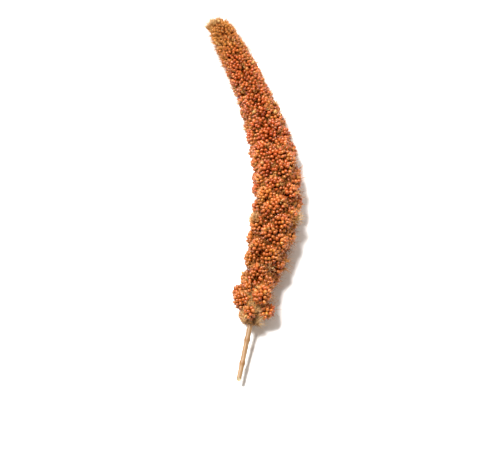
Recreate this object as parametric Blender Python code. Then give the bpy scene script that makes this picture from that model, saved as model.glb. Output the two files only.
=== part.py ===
"""One dried foxtail millet head on its cut stalk, laid on its side.

Metres, +Z up. The head lies along Y with its tip at +Y, bows towards +X and rests on Z = 0.

Each shape is worked out straight, as across, up and along the axis of the head, and one function
then bends it onto the bowed axis. The head is a dense body of seed clusters round a thin core, with
loose clusters on short branches below it. Every skin is made of rings of vertices in a hexagonal
net, in which each third vertex is the crown of a grain.
"""

import math

import bmesh
import bpy
import numpy as np

# The bowed axis, measured from the end of the seed head at the stalk
HEAD_LENGTH = 0.168
STALK_LENGTH = 0.027
HEADING_AT = (-0.027, 0.0, 0.040, 0.055, 0.068, 0.082, 0.101, 0.127, 0.155, 0.168)
HEADING = (17.5, 17.9, 18.8, 16.1, 6.0, -2.7, -8.7, -15.7, -19.9, -20.9)
AXIS_STEPS = 430
AXIS_SPARE = 0.010
PLAN_MIDDLE = (0.0229, 0.1040)

# Radius of the seed head and height of its axis over the surface, each at places along the axis
GIRTH_AT = (0.012, 0.016, 0.024, 0.034, 0.046, 0.062, 0.078, 0.092, 0.106, 0.121, 0.138, 0.150, 0.160)
GIRTH = (0.0060, 0.0083, 0.0097, 0.0109, 0.0119, 0.0124, 0.0120, 0.0113, 0.0103, 0.0089, 0.0080, 0.0073, 0.0063)
TIP_ROUND = 0.0100
LIFT_AT = (-0.027, 0.0, 0.020, 0.034, 0.050, 0.080, 0.105, 0.121, 0.140, 0.168)
LIFT = (0.0054, 0.0074, 0.0086, 0.0096, 0.0108, 0.0106, 0.0091, 0.0080, 0.0073, 0.0068)

# Seed clusters of the dense body, on a spiral round the core
BODY_START = 0.0135
BODY_OPENING = 0.0045
CLUSTER_AT = (0.014, 0.085, 0.120, 0.145, 0.164)
CLUSTER_STEP = (0.0104, 0.0100, 0.0082, 0.0062, 0.0050)
CLUSTER_PLUMP = (0.49, 0.57, 0.72, 0.86, 0.95)
CLUSTER_LEAN = (28.0, 34.0, 46.0, 60.0, 70.0)
CLUSTER_DEPTH = 0.68
CLUSTER_SEED = 11
PLACE_SCATTER = 0.16
TURN_SCATTER = 0.14
SIZE_SCATTER = 0.10
LEAN_SCATTER = 6.0
REACH_SCATTER = 0.03
GOLDEN_TURN = math.radians(137.508)
HEX_AREA = math.sqrt(3) / 2

# Loose clusters on short branches, at the stalk end
LOOSE_COUNT = 7
LOOSE_FROM = 0.0035
LOOSE_STEP = 0.0019
LOOSE_REACH = (0.0062, 0.0076)
LOOSE_RADIUS = (0.0031, 0.0046)
LOOSE_STRETCH = 1.22
LOOSE_LEAN = math.radians(32.0)
LOOSE_TURN = math.radians(100.0)
LOOSE_PRESS = 0.8
BRANCH_SHARE = (0.05, 0.95)
BRANCH_RADIUS = (0.0011, 0.0007)
BRANCH_SLOPE = 0.35
BRANCH_SIDES = 5

# Grains: spacing of the net's vertices and height of a crown
NET_STEP = 0.00158
LOOSE_NET_STEP = 0.00140
GRAIN_RISE = 0.00095
RISE_SCATTER = 0.15
GRAIN_SCATTER = 0.10
GRAIN_SEED = 5
ROWS_EVERY = 6

# Core, socket and stalk
CORE_RADIUS = 0.0027
CORE_END_RADIUS = 0.0021
CORE_TIP_RADIUS = 0.0012
CORE_AT = (0.0, 0.0016, 0.005, 0.009, 0.013, 0.018, 0.024, 0.030)
CORE_SIDES = 14
STALK_RADIUS = 0.00125
STALK_CUT_RADIUS = 0.00115
STALK_SIDES = 14
STALK_STEP = 0.0015
STALK_JOINTS = (-0.0075, -0.0190)
STALK_JOINT_RISE = 0.00028
STALK_JOINT_WIDTH = 0.0011
STALK_CUT_SLANT = math.radians(28.0)
SOCKET_DEPTH = 0.008
SOCKET_GAP = 0.00035
SOCKET_RUN_OUT = 0.004
SMOOTH_ANGLE = math.radians(60)

GRAIN_COLOUR = (0.47, 0.13, 0.035, 1.0)
STRAW_COLOUR = (0.62, 0.44, 0.25, 1.0)


def smooth_profile(where, places, values):
    """Value of an outline at places along the axis: a cubic through the given points, with level ends."""
    places, values = np.asarray(places), np.asarray(values)
    slopes = np.gradient(values, places)
    slopes[0] = slopes[-1] = 0.0
    where = np.clip(where, places[0], places[-1])
    k = np.clip(np.searchsorted(places, where, side="right") - 1, 0, len(places) - 2)
    width = places[k + 1] - places[k]
    t = (where - places[k]) / width
    return (
        values[k] * (1 + 2 * t) * (1 - t) ** 2
        + values[k + 1] * t**2 * (3 - 2 * t)
        + width * (slopes[k] * t * (1 - t) ** 2 - slopes[k + 1] * t**2 * (1 - t))
    )


def head_radius(along):
    """Outer radius of the seed head; its last stretch closes as a quarter of an ellipse."""
    closing = np.clip((along - (HEAD_LENGTH - TIP_ROUND)) / TIP_ROUND, 0, 1)
    return smooth_profile(along, GIRTH_AT, GIRTH) * np.sqrt(1 - closing**2)


def bend(across, up, along):
    """World points of straight ones. In plan the axis runs on at HEADING, in degrees from +Y towards +X,
    so it is the running sum of that angle's sine and cosine, and across is square to it. Its height is LIFT.
    """
    places = np.linspace(-STALK_LENGTH - AXIS_SPARE, HEAD_LENGTH + AXIS_SPARE, AXIS_STEPS)
    turned = smooth_profile(places, HEADING_AT, np.radians(HEADING))
    step = places[1] - places[0]
    heading = np.interp(along, places, turned)
    return np.stack(
        [
            np.interp(along, places, np.cumsum(np.sin(turned)) * step) + across * np.cos(heading) - PLAN_MIDDLE[0],
            np.interp(along, places, np.cumsum(np.cos(turned)) * step) - across * np.sin(heading) - PLAN_MIDDLE[1],
            smooth_profile(along, LIFT_AT, LIFT) + up,
        ],
        axis=-1,
    )


def ellipsoids(centre, turn, lean, sizes):
    """Centres of clusters, and matrices that carry a point near each into its unit ball.

    A cluster's long axis leans from straight out towards the tip; sizes are long, wide and thick.
    """
    flat = np.zeros_like(turn)
    out = np.stack([np.cos(turn), np.sin(turn), flat], axis=-1)
    side = np.stack([-np.sin(turn), np.cos(turn), flat], axis=-1)
    tipward = np.stack([flat, flat, flat + 1], axis=-1)
    cos, sin = np.cos(lean)[:, None], np.sin(lean)[:, None]
    axes = np.stack([out * cos + tipward * sin, side, tipward * cos - out * sin], axis=1)
    return centre, axes / sizes[:, :, None]


def body_clusters():
    """Ellipsoids of the dense body, spaced by area along a golden-angle spiral, with a seeded scatter."""
    rng = np.random.default_rng(CLUSTER_SEED)
    along = np.linspace(CLUSTER_AT[0], CLUSTER_AT[-1], 800)
    step = smooth_profile(along, CLUSTER_AT, CLUSTER_STEP)
    per_metre = 2 * math.pi * head_radius(along) / (HEX_AREA * step**2)
    total = np.concatenate([[0], np.cumsum((per_metre[1:] + per_metre[:-1]) / 2 * np.diff(along))])
    index = np.arange(int(total[-1]))
    at = np.interp(index + 0.5, total, along)
    step = smooth_profile(at, CLUSTER_AT, CLUSTER_STEP)
    scatter = rng.uniform(-1, 1, (4, len(index)))
    at = at + PLACE_SCATTER * step * scatter[0]
    turn = index * GOLDEN_TURN + TURN_SCATTER * step / head_radius(at) * scatter[1]
    scale = 1 + SIZE_SCATTER * scatter[2]
    lean = np.radians(smooth_profile(at, CLUSTER_AT, CLUSTER_LEAN) + LEAN_SCATTER * scatter[3])
    plump = smooth_profile(at, CLUSTER_AT, CLUSTER_PLUMP)
    sizes = np.stack([CLUSTER_DEPTH * step, plump * step, plump * step], axis=-1) * scale[:, None]
    extent = np.hypot(sizes[:, 0] * np.cos(lean), sizes[:, 2] * np.sin(lean))
    reach = np.maximum(head_radius(at) * (1 + REACH_SCATTER * scatter[2]) - extent, 0.0)
    centre = np.stack([reach * np.cos(turn), reach * np.sin(turn), at], axis=-1)
    tip_size = head_radius(np.array([HEAD_LENGTH - TIP_ROUND]))[0]
    centre = np.vstack([centre, [0, 0, HEAD_LENGTH - TIP_ROUND]])
    sizes = np.vstack([sizes, [TIP_ROUND, tip_size, tip_size]])
    return ellipsoids(centre, np.append(turn, 0.0), np.append(lean, math.pi / 2), sizes)


def envelope(clusters, along, turn):
    """Distance from the axis to the furthest cluster surface, on rays square to the axis."""
    centre, matrix = clusters
    start = np.stack([np.zeros_like(along), np.zeros_like(along), along], axis=-1)
    ray = np.stack([np.cos(turn), np.sin(turn), np.zeros_like(turn)], axis=-1)
    q = np.einsum("cij,vcj->vci", matrix, start[:, None, :] - centre[None])
    d = np.einsum("cij,vj->vci", matrix, ray)
    a, b, c = (d * d).sum(-1), (q * d).sum(-1), (q * q).sum(-1) - 1
    inside = b * b - a * c
    hit = np.where(inside > 0, (np.sqrt(np.maximum(inside, 0)) - b) / a, 0.0)
    return hit.max(axis=1)


def net_rings(along, radius, step):
    """Stations of rings at even steps along an outline, and each ring's number of vertices."""
    run = np.concatenate([[0], np.cumsum(np.hypot(np.diff(along), np.diff(radius)))])
    count = max(3, round(run[-1] / (HEX_AREA * step)))
    where = np.linspace(0, run[-1], count + 1)[1:-1]
    girth = 2 * math.pi * np.interp(where, run, radius)
    sides = ROWS_EVERY * np.round(girth / (step * ROWS_EVERY)).astype(int)
    return np.interp(where, run, along), np.maximum(sides, ROWS_EVERY)


def net_layout(stations, sides):
    """Arrays that name each vertex of the net: its station, its turn and whether it is a grain's crown.

    Rows with the same count are shifted by half a step in turn, and every third vertex is a crown.
    """
    at, turn, crown, first = [], [], [], [0]
    row = 0
    for k, (station, count) in enumerate(zip(stations, sides)):
        row = row + 1 if k and sides[k - 1] == count else 0
        index = np.arange(count)
        at.append(np.full(count, station))
        turn.append((index + 0.5 * (row % 2)) * 2 * math.pi / count)
        crown.append((index - row % 2) % 3 == 0)
        first.append(first[-1] + count)
    return np.concatenate(at), np.concatenate(turn), np.concatenate(crown), first


def zip_rings(lower, upper):
    """Triangles between two rings of any counts, always taking the nearer next vertex round."""
    n, m = len(lower), len(upper)
    faces, i, j = [], 0, 0
    while i < n or j < m:
        if j >= m or (i < n and (i + 1) / n <= (j + 1) / m):
            faces.append((lower[i % n], lower[(i + 1) % n], upper[j % m]))
            i += 1
        else:
            faces.append((lower[i % n], upper[(j + 1) % m], upper[j % m]))
            j += 1
    return faces


def closed_skin(name, points, first, poles):
    """A bmesh object's mesh from rings of vertices, closed by a fan onto a pole at each end."""
    count = len(points)
    rings = [list(range(a, b)) for a, b in zip(first[:-1], first[1:])]
    faces = [f for low, high in zip(rings[:-1], rings[1:]) for f in zip_rings(low, high)]
    for ring, pole in ((rings[0], count), (rings[-1], count + 1)):
        faces += [(ring[k], ring[(k + 1) % len(ring)], pole) for k in range(len(ring))]
    mesh = bpy.data.meshes.new(name)
    mesh.from_pydata(np.vstack([points, poles]).tolist(), [], faces)
    made = bmesh.new()
    made.from_mesh(mesh)
    bmesh.ops.recalc_face_normals(made, faces=made.faces)
    made.to_mesh(mesh)
    made.free()
    return mesh


def raise_crowns(mesh, crown, rise, rng):
    """Lifts each crown along its normal, a little unevenly, then flattens what would be below the surface."""
    count = len(mesh.vertices)
    normals = np.array([v.vector for v in mesh.vertex_normals])
    points = np.empty(count * 3)
    mesh.vertices.foreach_get("co", points)
    points = points.reshape(-1, 3)
    height = rise * (1 + RISE_SCATTER * rng.uniform(-1, 1, count))
    points[: len(crown)] += normals[: len(crown)] * (height[: len(crown)] * crown)[:, None]
    points[:, 2] = np.maximum(points[:, 2], 0.0)
    mesh.vertices.foreach_set("co", points.ravel())
    mesh.update()


def add_object(name, mesh, collection):
    made = bpy.data.objects.new(name, mesh)
    collection.objects.link(made)
    return made


def dense_body(collection, rng):
    """The dense body of clusters, from the first cluster over the core to the tip."""
    along = np.linspace(BODY_START, HEAD_LENGTH, 1200)
    outline = head_radius(along) * np.sqrt(np.clip((along - BODY_START) / BODY_OPENING, 0, 1))
    stations, sides = net_rings(along, outline, NET_STEP)
    at, turn, crown, first = net_layout(stations, sides)
    shift = GRAIN_SCATTER * NET_STEP * rng.uniform(-1, 1, (2, len(at)))
    radius = envelope(body_clusters(), at + shift[0], turn)
    radius = np.maximum(radius - GRAIN_RISE, CORE_TIP_RADIUS)
    turn = turn + shift[1] / np.maximum(radius, NET_STEP)
    points = bend(radius * np.cos(turn), radius * np.sin(turn), at + shift[0])
    ends = np.array([BODY_START, HEAD_LENGTH - GRAIN_RISE])
    mesh = closed_skin("seed_head", points, first, bend(np.zeros(2), np.zeros(2), ends))
    raise_crowns(mesh, crown, GRAIN_RISE, rng)
    return add_object("seed_head", mesh, collection)


def loose_places():
    """Centre, turn and radius of each loose cluster, in straight coordinates, growing towards the head."""
    share = np.linspace(0, 1, LOOSE_COUNT)
    turn = LOOSE_TURN + np.arange(LOOSE_COUNT) * GOLDEN_TURN
    radius = LOOSE_RADIUS[0] + share * (LOOSE_RADIUS[1] - LOOSE_RADIUS[0])
    reach = LOOSE_REACH[0] + share * (LOOSE_REACH[1] - LOOSE_REACH[0])
    at = LOOSE_FROM + LOOSE_STEP * np.arange(LOOSE_COUNT)
    up = reach * np.sin(turn)
    lowest = LOOSE_PRESS * radius - smooth_profile(at, LIFT_AT, LIFT)
    return np.stack([reach * np.cos(turn), np.maximum(up, lowest), at], axis=-1), turn, radius


def loose_cluster(name, centre, turn, radius, collection, rng):
    """An egg-shaped cluster of grains whose long axis leans outwards and towards the tip."""
    angle = np.linspace(0, math.pi, 200)
    long_half = radius * LOOSE_STRETCH
    along, outline = -long_half * np.cos(angle), radius * np.sin(angle)
    stations, sides = net_rings(along, outline, LOOSE_NET_STEP)
    at, round_turn, crown, first = net_layout(stations, sides)
    ring = radius * np.sqrt(1 - (at / long_half) ** 2) - GRAIN_RISE / 2
    out = np.array([math.cos(turn), math.sin(turn), 0.0])
    side = np.array([-math.sin(turn), math.cos(turn), 0.0])
    tipward = np.array([0.0, 0.0, 1.0])
    long_axis = out * math.cos(LOOSE_LEAN) + tipward * math.sin(LOOSE_LEAN)
    third = tipward * math.cos(LOOSE_LEAN) - out * math.sin(LOOSE_LEAN)
    straight = (
        centre
        + np.outer(at, long_axis)
        + np.outer(ring * np.cos(round_turn), side)
        + np.outer(ring * np.sin(round_turn), third)
    )
    poles = centre + np.outer([-long_half, long_half], long_axis)
    mesh = closed_skin(name, bend(*straight.T), first, bend(*poles.T))
    raise_crowns(mesh, crown, GRAIN_RISE, rng)
    return add_object(name, mesh, collection)


def round_bar(name, centres, radii, sides, collection, slant=0.0):
    """A closed bar through straight points; its rings stand square to the axis, the first one slanted."""
    turn = np.arange(sides) * 2 * math.pi / sides
    across = centres[:, 0:1] + radii[:, None] * np.cos(turn)
    up = centres[:, 1:2] + radii[:, None] * np.sin(turn)
    along = np.repeat(centres[:, 2:3], sides, axis=1)
    along[0] += radii[0] * np.sin(turn) * math.tan(slant)
    points = bend(across.ravel(), up.ravel(), along.ravel())
    first = list(range(0, len(points) + 1, sides))
    mesh = closed_skin(name, points, first, bend(*centres[[0, -1]].T))
    return add_object(name, mesh, collection)


def branch(name, centre, collection):
    """A short tapering branch from inside the core into a loose cluster."""
    start = np.array([0.0, 0.0, centre[2] - BRANCH_SLOPE * np.hypot(centre[0], centre[1])])
    reach = centre - start
    length = np.linalg.norm(reach)
    forward = reach / length
    side = np.cross(forward, [0.0, 0.0, 1.0])
    side /= np.linalg.norm(side)
    third = np.cross(forward, side)
    turn = np.arange(BRANCH_SIDES) * 2 * math.pi / BRANCH_SIDES
    rings = [
        start + reach * share + radius * (np.outer(np.cos(turn), side) + np.outer(np.sin(turn), third))
        for share, radius in zip(BRANCH_SHARE, BRANCH_RADIUS)
    ]
    poles = start + np.outer(BRANCH_SHARE, reach)
    first = [0, BRANCH_SIDES, 2 * BRANCH_SIDES]
    mesh = closed_skin(name, bend(*np.vstack(rings).T), first, bend(*poles.T))
    return add_object(name, mesh, collection)


def on_axis(along):
    return np.stack([np.zeros_like(along), np.zeros_like(along), along], axis=-1)


def even_places(start, end, step):
    return np.linspace(start, end, 1 + round((end - start) / step))


def core(collection):
    """The bare, felted stretch of the core below the dense body, tapering to the stalk."""
    radii = np.full(len(CORE_AT), CORE_RADIUS)
    radii[0] = CORE_END_RADIUS
    radii[-1] = CORE_TIP_RADIUS
    return round_bar("core", on_axis(np.array(CORE_AT)), radii, CORE_SIDES, collection)


def stalk(collection):
    """The cut stalk: a slim bar with a slight swelling at each joint and a slanted cut."""
    along = even_places(-STALK_LENGTH, SOCKET_DEPTH - SOCKET_GAP, STALK_STEP)
    radii = np.interp(along, [-STALK_LENGTH, 0.0], [STALK_CUT_RADIUS, STALK_RADIUS])
    for joint in STALK_JOINTS:
        radii = radii + STALK_JOINT_RISE * np.exp(-(((along - joint) / STALK_JOINT_WIDTH) ** 2))
    return round_bar("stalk", on_axis(along), radii, STALK_SIDES, collection, STALK_CUT_SLANT)


def apply_boolean(target, operation, **operand):
    """Runs one Boolean on the target and keeps its result as the target's mesh."""
    modifier = target.modifiers.new(operation.title(), "BOOLEAN")
    modifier.operation = operation
    modifier.solver = "MANIFOLD"
    for setting, value in operand.items():
        setattr(modifier, setting, value)
    graph = bpy.context.evaluated_depsgraph_get()
    joined = bpy.data.meshes.new_from_object(target.evaluated_get(graph))
    target.modifiers.clear()
    target.data = joined
    target.data.name = target.name


def keep_outer_skin(mesh):
    """Fills pockets that clusters close in between them, by keeping the largest connected skin only."""
    made = bmesh.new()
    made.from_mesh(mesh)
    unseen, skins = set(made.verts), []
    while unseen:
        skin, edge_of_skin = set(), [unseen.pop()]
        while edge_of_skin:
            vertex = edge_of_skin.pop()
            skin.add(vertex)
            near = {edge.other_vert(vertex) for edge in vertex.link_edges} & unseen
            unseen -= near
            edge_of_skin.extend(near)
        skins.append(skin)
    for pocket in sorted(skins, key=len)[:-1]:
        bmesh.ops.delete(made, geom=list(pocket), context="VERTS")
    made.to_mesh(mesh)
    made.free()


def seed_head(collection):
    """The dense body, core, branches and loose clusters joined as one solid, with the stalk's socket cut."""
    rng = np.random.default_rng(GRAIN_SEED)
    body = dense_body(collection, rng)
    joined = bpy.data.collections.new("seed_head_pieces")
    collection.children.link(joined)
    core(joined)
    for k, (centre, turn, radius) in enumerate(zip(*loose_places())):
        loose_cluster(f"loose_cluster_{k + 1}", centre, turn, radius, joined, rng)
        branch(f"branch_{k + 1}", centre, joined)
    apply_boolean(body, "UNION", operand_type="COLLECTION", collection=joined)
    keep_outer_skin(body.data)
    socket_at = even_places(-SOCKET_RUN_OUT, SOCKET_DEPTH, SOCKET_RUN_OUT)
    socket_radii = np.full(len(socket_at), STALK_RADIUS + SOCKET_GAP)
    socket = round_bar("socket", on_axis(socket_at), socket_radii, STALK_SIDES, joined)
    apply_boolean(body, "DIFFERENCE", operand_type="OBJECT", object=socket)
    for piece in list(joined.objects):
        bpy.data.objects.remove(piece)
    bpy.data.collections.remove(joined)
    return body


def finish(obj, name, colour, roughness):
    """Gives a piece its material and smooth shading that breaks at sharp edges."""
    material = bpy.data.materials.new(name)
    material.use_nodes = True
    shader = material.node_tree.nodes["Principled BSDF"]
    shader.inputs["Base Color"].default_value = colour
    shader.inputs["Roughness"].default_value = roughness
    material.diffuse_color = colour
    obj.data.materials.clear()
    obj.data.materials.append(material)
    obj.data.shade_smooth()
    obj.data.set_sharp_from_angle(angle=SMOOTH_ANGLE)


def main():
    for old in list(bpy.data.objects):
        bpy.data.objects.remove(old)
    scene = bpy.context.scene.collection
    finish(seed_head(scene), "russet_grain", GRAIN_COLOUR, 0.45)
    finish(stalk(scene), "straw", STRAW_COLOUR, 0.6)


main()
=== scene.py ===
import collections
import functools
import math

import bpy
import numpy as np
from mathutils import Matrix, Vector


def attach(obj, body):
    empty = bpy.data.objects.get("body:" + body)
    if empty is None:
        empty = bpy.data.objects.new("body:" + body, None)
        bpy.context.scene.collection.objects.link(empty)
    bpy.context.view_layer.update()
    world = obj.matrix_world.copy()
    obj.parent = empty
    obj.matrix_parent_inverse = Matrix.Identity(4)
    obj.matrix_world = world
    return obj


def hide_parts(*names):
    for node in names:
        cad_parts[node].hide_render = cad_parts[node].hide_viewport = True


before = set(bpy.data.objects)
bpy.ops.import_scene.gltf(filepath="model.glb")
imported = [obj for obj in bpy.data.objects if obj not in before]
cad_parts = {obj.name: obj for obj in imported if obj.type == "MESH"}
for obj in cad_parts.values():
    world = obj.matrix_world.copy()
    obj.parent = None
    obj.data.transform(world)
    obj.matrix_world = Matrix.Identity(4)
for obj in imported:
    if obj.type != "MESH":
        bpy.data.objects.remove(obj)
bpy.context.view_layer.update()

# One dried foxtail millet head on its cut stalk, lying on a pale surface and seen from above its
# stalk end.
#
# Shapes are worked out straight: across the head, up, and along its axis from the end at the
# stalk. bend() then lays them on the bowed axis, as in the part's own source.

bl_info = {
    "name": "Foxtail millet head",
    "version": (1, 0, 0),
    "blender": (4, 5, 0),
    "location": "3D View > Sidebar > Millet",
    "description": "Grains, husks, bristles, felted core and straw stalk of a dried millet head",
    "category": "Add Mesh",
}

MM = 0.001
TIPWARD = np.array([0.0, 0.0, 1.0])
GOLDEN_TURN = math.radians(137.508)
HEX_AREA = math.sqrt(3) / 2
# The power in the usual formula for an ellipsoid's area
AREA_POWER = 1.6075

# The head's axis, girth and clusters, as in the part's source
HEAD_LENGTH = 0.168
STALK_LENGTH = 0.027
HEADING_AT = (-0.027, 0.0, 0.040, 0.055, 0.068, 0.082, 0.101, 0.127, 0.155, 0.168)
HEADING = (17.5, 17.9, 18.8, 16.1, 6.0, -2.7, -8.7, -15.7, -19.9, -20.9)
AXIS_STEPS = 430
AXIS_SPARE = 0.010
PLAN_MIDDLE = (0.0229, 0.1040)
GIRTH_AT = (0.012, 0.016, 0.024, 0.034, 0.046, 0.062, 0.078)
GIRTH_AT += (0.092, 0.106, 0.121, 0.138, 0.150, 0.160)
GIRTH = (0.0060, 0.0083, 0.0097, 0.0109, 0.0119, 0.0124, 0.0120)
GIRTH += (0.0113, 0.0103, 0.0089, 0.0080, 0.0073, 0.0063)
TIP_ROUND = 0.0100
LIFT_AT = (-0.027, 0.0, 0.020, 0.034, 0.050, 0.080, 0.105, 0.121, 0.140, 0.168)
LIFT = (0.0054, 0.0074, 0.0086, 0.0096, 0.0108, 0.0106, 0.0091, 0.0080, 0.0073, 0.0068)
BODY_START = 0.0135
CLUSTER_AT = (0.014, 0.085, 0.120, 0.145, 0.164)
CLUSTER_STEP = (0.0104, 0.0100, 0.0082, 0.0062, 0.0050)
CLUSTER_PLUMP = (0.49, 0.57, 0.72, 0.86, 0.95)
CLUSTER_LEAN = (28.0, 34.0, 46.0, 60.0, 70.0)
CLUSTER_DEPTH = 0.68
CLUSTER_STEPS = 800
CLUSTER_SEED = 11
PLACE_SCATTER = 0.16
TURN_SCATTER = 0.14
SIZE_SCATTER = 0.10
LEAN_SCATTER = 6.0
REACH_SCATTER = 0.03
LOOSE_COUNT = 7
LOOSE_FROM = 0.0035
LOOSE_STEP = 0.0019
LOOSE_REACH = (0.0062, 0.0076)
LOOSE_RADIUS = (0.0031, 0.0046)
LOOSE_STRETCH = 1.22
LOOSE_LEAN = math.radians(32.0)
LOOSE_TURN = math.radians(100.0)
LOOSE_PRESS = 0.8
STALK_RADIUS = 0.00125
STALK_CUT_RADIUS = 0.00115
STALK_JOINTS = (-0.0075, -0.0190)
STALK_JOINT_RISE = 0.00028
STALK_JOINT_WIDTH = 0.0011
STALK_CUT_SLANT = math.radians(28.0)
SOCKET_DEPTH = 0.008
RACHIS_RADIUS = 0.0027
RACHIS_END_RADIUS = 0.0021

# Heights between these two are squeezed, as the grains under the head are pressed flat
PRESS_FLOOR = -0.0019
PRESS_TOP = 0.0026

# One seed for each group of random draws
SEEDS = {"places": 31, "grains": 7, "husks": 23, "bristles": 41, "stem": 53}

# Where the spikelets sit: their pitch gets smaller towards the tip, and their middles lie a share
# of a grain's length deep
PITCH_AT = (0.0, 0.110, 0.150, 0.168)
PITCH_SHARE = (1.0, 1.0, 0.90, 0.84)
GRAIN_SINK = 0.36
PLACE_JITTER = 0.10
RELIEF = 0.00014
# One is left out inside another cluster, behind the inner body or too near to another, by these
# shares of the cluster's size, a grain's length and the pitch
INSIDE_SHARE = 0.90
BEHIND_SHARE = 0.2
CROWDED_SHARE = 0.66
# Rows of a large table that are worked out at once
TABLE_ROWS = 400
# Towards the tip the grains are smaller, and more of them are hidden by husks and bristles
TIP_SPAN = (0.132, 0.163)
# A spikelet's painted light falls to about a third over these depths, one under the clusters'
# envelope and one under the head's girth, where the first SEAM_FREE changes nothing. This is
# painted shade, darker deep in the seams
ENVELOPE_SHADE_DEPTH = 0.0024
SEAM_SHADE_DEPTH = 0.0042
SEAM_FREE = 0.0004

# Places with empty husks instead of a grain: a share of all, and patches given as (along, turn in
# degrees, radius), with ragged edges, a little under the head's surface
BARE_SHARE = 0.035
BARE_PATCHES = (
    (0.1660, 165.0, 0.0046),
    (0.0495, 143.0, 0.0026),
    (0.0530, 12.0, 0.0034),
    (0.0886, 103.0, 0.0017),
    (0.1120, 20.0, 0.0018),
    (0.0700, -60.0, 0.0026),
    (0.0330, -120.0, 0.0030),
    (0.1300, -100.0, 0.0022),
    (0.0270, 60.0, 0.0022),
)
PATCH_EDGE = (0.7, 1.1)
PATCH_LEVEL = 0.93

# The dark inner body lies under the clusters' surface, between two shares of the head's girth
BODY_ENDS = (BODY_START - 1.0 * MM, HEAD_LENGTH - 2.2 * MM)
BODY_INSET = 1.75 * MM
BODY_SHARES = (0.50, 0.96)
LEAST_CLUSTER = 0.9 * MM
BODY_ROUND = 4 * MM
KNOB_INSET = 1.7 * MM
KNOB_END = 0.92

# Grains: how they stand, their rings from -1 to 1, how they slim upwards, and their point
GRAIN_LEAN = 0.30
GRAIN_SCATTER = 0.16
GRAIN_SIDES = 9
GRAIN_HEIGHTS = np.array([-0.45, 0.12, 0.64])
GRAIN_SLIMMING = 0.18
GRAIN_POINT = 1.07
GRAIN_SCALES = (0.88, 1.10)
TIP_GRAIN = 0.90
# A grain's painted light at its foot, rising to 1 at its top: painted shade between the grains
FOOT_PAINTED_LIGHT = 0.18
STRETCH_ENDS = (0.040, 0.074, 0.112)
# Their ripeness, how much paler or, where negative, redder they are along the head, and how golden
RIPENESS_SHAPE = (2.0, 2.2)
CLUSTER_RIPENESS = 0.20
PALER_AT = (0.0, 0.030, 0.050, 0.066, 0.085, 0.105, 0.125, 0.150)
PALER = (-0.14, -0.10, 0.12, 0.12, -0.02, -0.13, -0.10, 0.0)
GOLD_AT = (0.0, 0.050, 0.080, 0.115, 0.148, 0.157, 0.168)
GOLD_SHARE = (0.18, 0.25, 0.0, 0.0, 0.24, 0.75, 1.0)
GOLD_SCATTER = 0.2
# Clusters and grains that are more golden than the others, as (share, amount)
GOLDEN_CLUSTERS = (0.15, 0.30)
GOLDEN_GRAINS = (0.04, 0.5)

# Husk scales: how far aside and up they go at three points, round a grain and where it is empty
HUSK_ASIDE = np.array([[0.28, 0.51, 0.56], [0.10, 0.30, 0.42]])
HUSK_CLIMB = np.array([[-0.62, -0.17, 0.23], [-0.60, 0.00, 0.55]])
HUSK_WIDTHS = np.array([0.16, 0.34, 0.20])
HUSK_THICKNESS = 0.16
HUSK_SIDES = 6
HUSK_FOOT = 0.1
HUSK_RISE = 0.26
HUSK_BOW = 0.25
HUSK_SCALES = (0.8, 1.2)
HUSKED_SHARE = (0.50, 1.0)
TIP_HUSK = 1.2
EMPTY_HUSKS = 5
# Painted light of a scale's rings from root to end: painted shade down among the grains
HUSK_PAINTED_LIGHT = (0.15, 0.45, 0.8)
# Their tones where empty and round a grain, and how much paler they are near the tip
HUSK_TONES = ((0.55, 1.0), (0.0, 0.75))
HUSK_PALER = 0.3
HUSK_PALE_FROM = 0.150

# Hairs: where their rings are, how they taper, and how deep they are rooted
HAIR_AT = np.array([0.0, 0.35, 0.7, 1.0])
HAIR_TAPER = np.array([1.0, 0.85, 0.6])
HAIR_SIDES = 3
HAIR_ROOT = 0.1
# Bristles. More of them show in the seams between clusters, at the tip and where a husk is empty
BRISTLES = 9600
BRISTLE_LEAN = 0.28
BRISTLE_SCATTER = 0.28
BRISTLE_BOW = 0.16
BRISTLE_DEPTH = 0.35
BRISTLE_ASIDE = 0.45
BRISTLE_RADII = (0.75, 1.25)
BRISTLE_WEIGHTS = (1.1, -0.5, 1.1, 2.0)
BRISTLE_SPLIT = 0.095
# Most end just above the grains, and a few stand well out and make the fine fringe
BRISTLE_SHARES = (0.50, 0.85)
FRINGE_MEAN = 0.32
FRINGE_MOST = 0.85

# Barren tufts that stand out of the head, as (along, turn in degrees, hairs)
SIDE_TUFTS = (
    (0.0545, 14.0, 110),
    (0.0500, 143.0, 55),
    (0.0330, -115.0, 60),
    (0.0720, -60.0, 50),
    (0.0270, 62.0, 50),
    (0.1010, -130.0, 40),
)
TUFT_INSET = 1.8 * MM
TUFT_SPREAD = 0.6 * MM
TUFT_LEAN = 0.35
TUFT_SCATTER = 0.42
TUFT_SHARES = (0.5, 1.25)
TUFT_BOW = 0.30
TUFT_RADIUS = 0.09 * MM
# The tuft that ends the tip: its middle and the way it points
TIP_TUFT = (-0.0027, 0.0008, 0.1652)
TIP_WAY = (-0.45, 0.1, 1.0)
TIP_HAIRS = 260
TIP_SPREAD = 3.4 * MM
TIP_FLARE = 0.25
TIP_SCATTER = 0.36
TIP_SHARES = (0.4, 1.0)
# The stem end: its radius along it, how deep its ribs are, its tufts and its wool
STEM_AT = (0.0, 1.6 * MM, 20 * MM, 24 * MM)
STEM_RADIUS = (RACHIS_END_RADIUS, RACHIS_RADIUS, 2.5 * MM, 1 * MM)
STEM_RIBS = (0.06, 0.03)
STEM_TUFTS = 26
STEM_TUFT_SPAN = (0.6 * MM, 16 * MM)
STEM_TUFT_TURN = 0.7
STEM_TUFT_OUT = 0.9
TUFT_HAIRS = 46
WOOL_HAIRS = 3600
WOOL_SPAN = (0.1 * MM, 17 * MM)
WOOL_OUT = 0.92
WOOL_LEAN = 0.3
WOOL_SCATTER = 0.5
WOOL_SHARES = (0.5, 1.3)
WOOL_BOW = 0.25
WOOL_RADIUS = 0.05 * MM
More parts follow.
